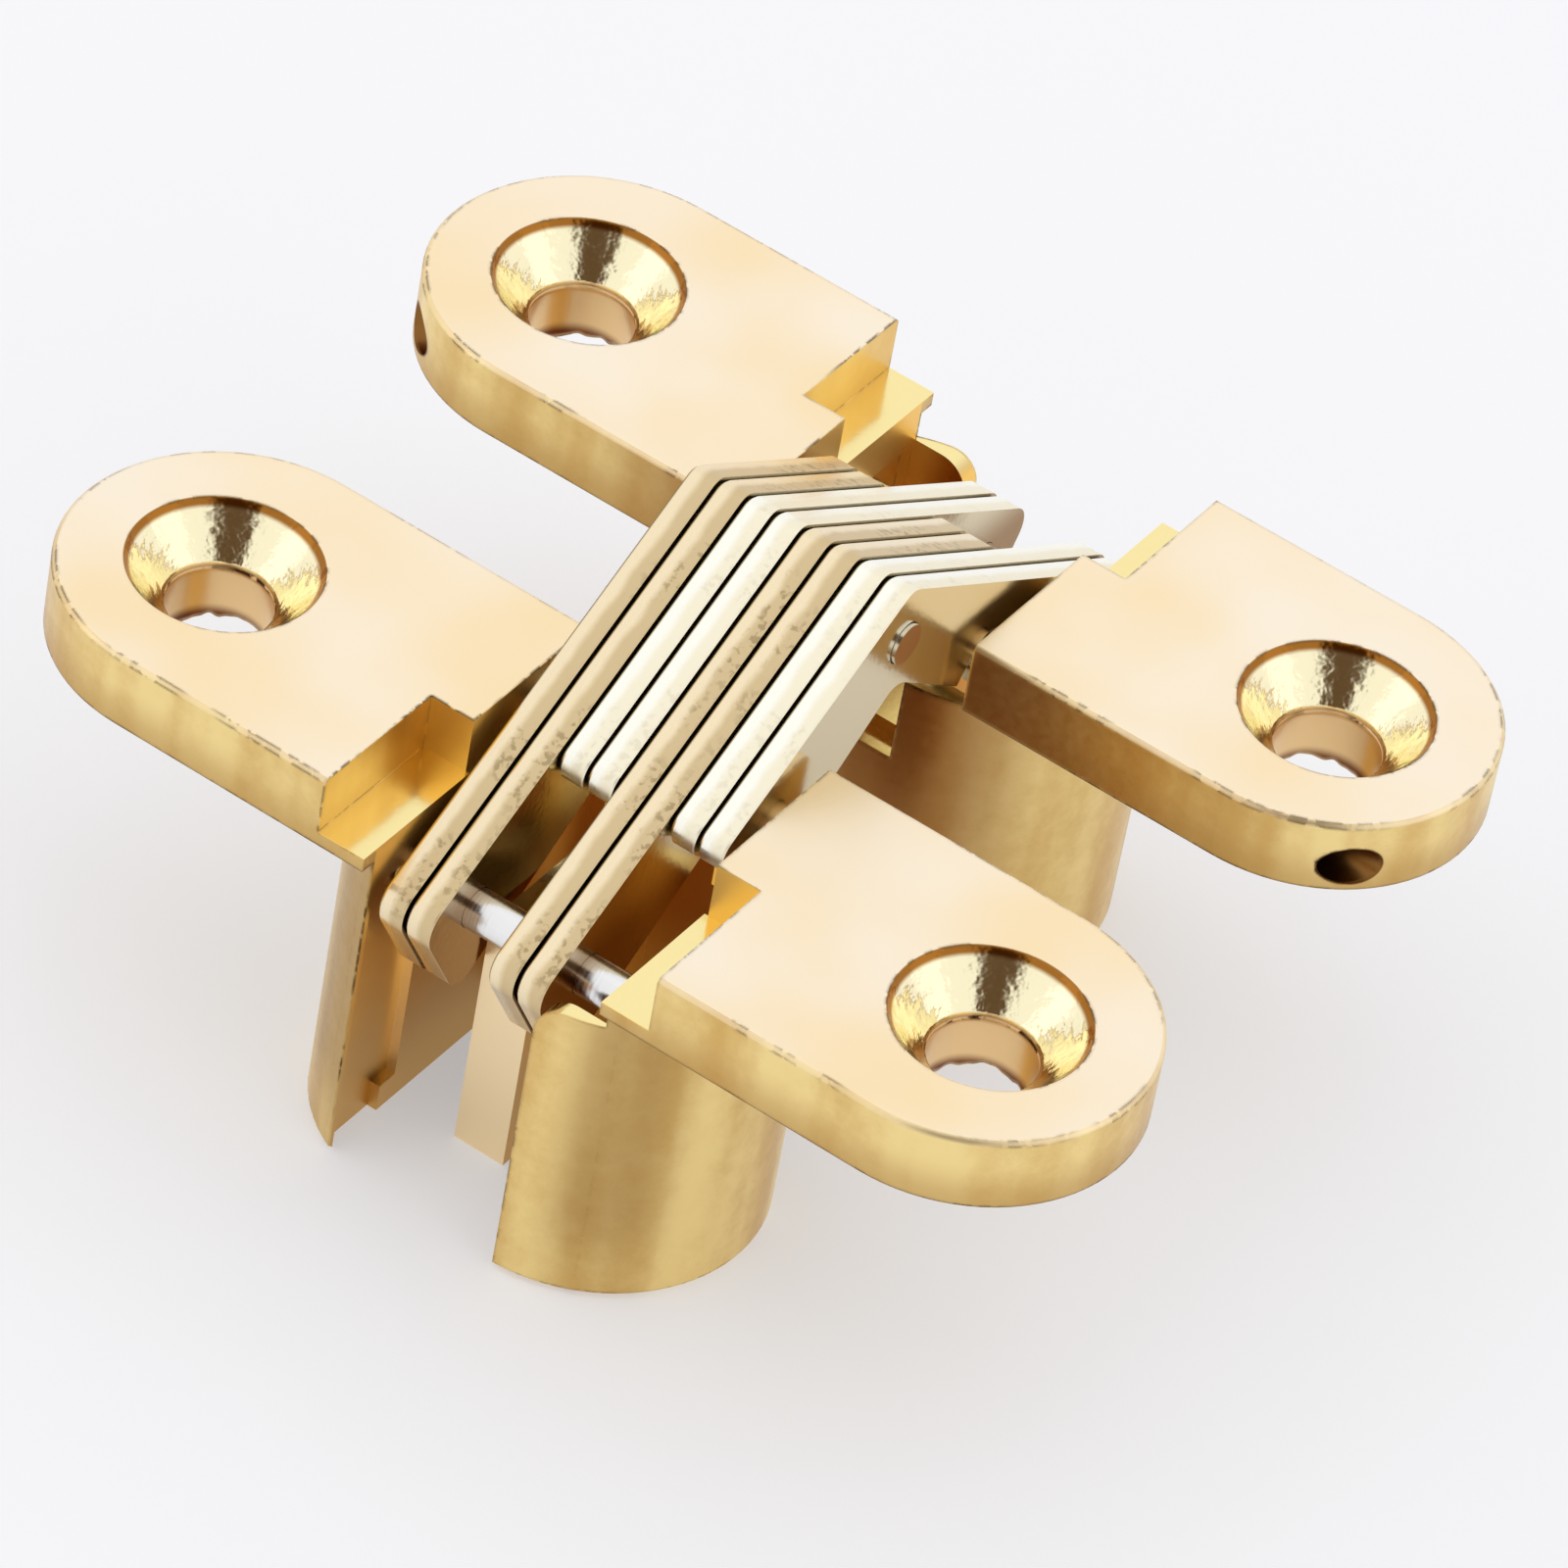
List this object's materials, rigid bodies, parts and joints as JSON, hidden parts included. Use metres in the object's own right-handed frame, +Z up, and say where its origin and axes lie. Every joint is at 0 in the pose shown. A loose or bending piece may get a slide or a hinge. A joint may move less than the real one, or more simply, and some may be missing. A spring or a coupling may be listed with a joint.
{
  "type": "invisible hinge",
  "caption": "Concealed cross-link door hinge: two round-ended brass-plated leaves on deep pocketed bosses, joined by a stack of bent links on steel pins.",
  "frame": {"origin": "centre of the open hinge, at the level of the bottom of the two bosses", "axes": "+X along the leaves, +Y from the front leaf to the rear leaf, +Z up out of the leaves' faces"},
  "size_m": [0.045, 0.0348, 0.0221],
  "materials": {
    "plated_zinc": "polished brass plate on a zinc die casting",
    "link_steel": "tumbled champagne plate on stamped steel",
    "pin_steel": "bright ground steel"
  },
  "bodies": {
    "front_leaf": {"front_leaf": "plated_zinc", "front_pivot_pin": "pin_steel"},
    "front_links": {"link_3": "link_steel", "link_4": "link_steel", "link_7": "link_steel", "link_8": "link_steel", "rear_slide_pin": "pin_steel"},
    "rear_links": {"link_1": "link_steel", "link_2": "link_steel", "link_5": "link_steel", "link_6": "link_steel", "front_slide_pin": "pin_steel", "centre_pin": "pin_steel"},
    "rear_leaf": {"rear_leaf": "plated_zinc", "rear_pivot_pin": "pin_steel"}
  },
  "joints": [
    {"name": "front_pivot", "type": "hinge", "parent": "front_leaf", "child": "front_links", "pos_m": [0, -0.0063, 0.0151], "axis": [1, 0, 0], "range_deg": [0, 121.24]},
    {"name": "centre_pivot", "type": "hinge", "parent": "front_links", "child": "rear_links", "pos_m": [0, 0, 0.0197], "axis": [1, 0, 0], "range_deg": [-63.2, 0]},
    {"name": "rear_pivot", "type": "hinge", "parent": "rear_links", "child": "rear_leaf", "pos_m": [0, 0.0063, 0.0151], "axis": [1, 0, 0], "range_deg": [0, 121.9]}
  ],
  "couplings": [
    {"joint": "centre_pivot", "follows": "front_pivot", "ratio": -0.51542},
    {"joint": "rear_pivot", "follows": "front_pivot", "ratio": 1}
  ]
}
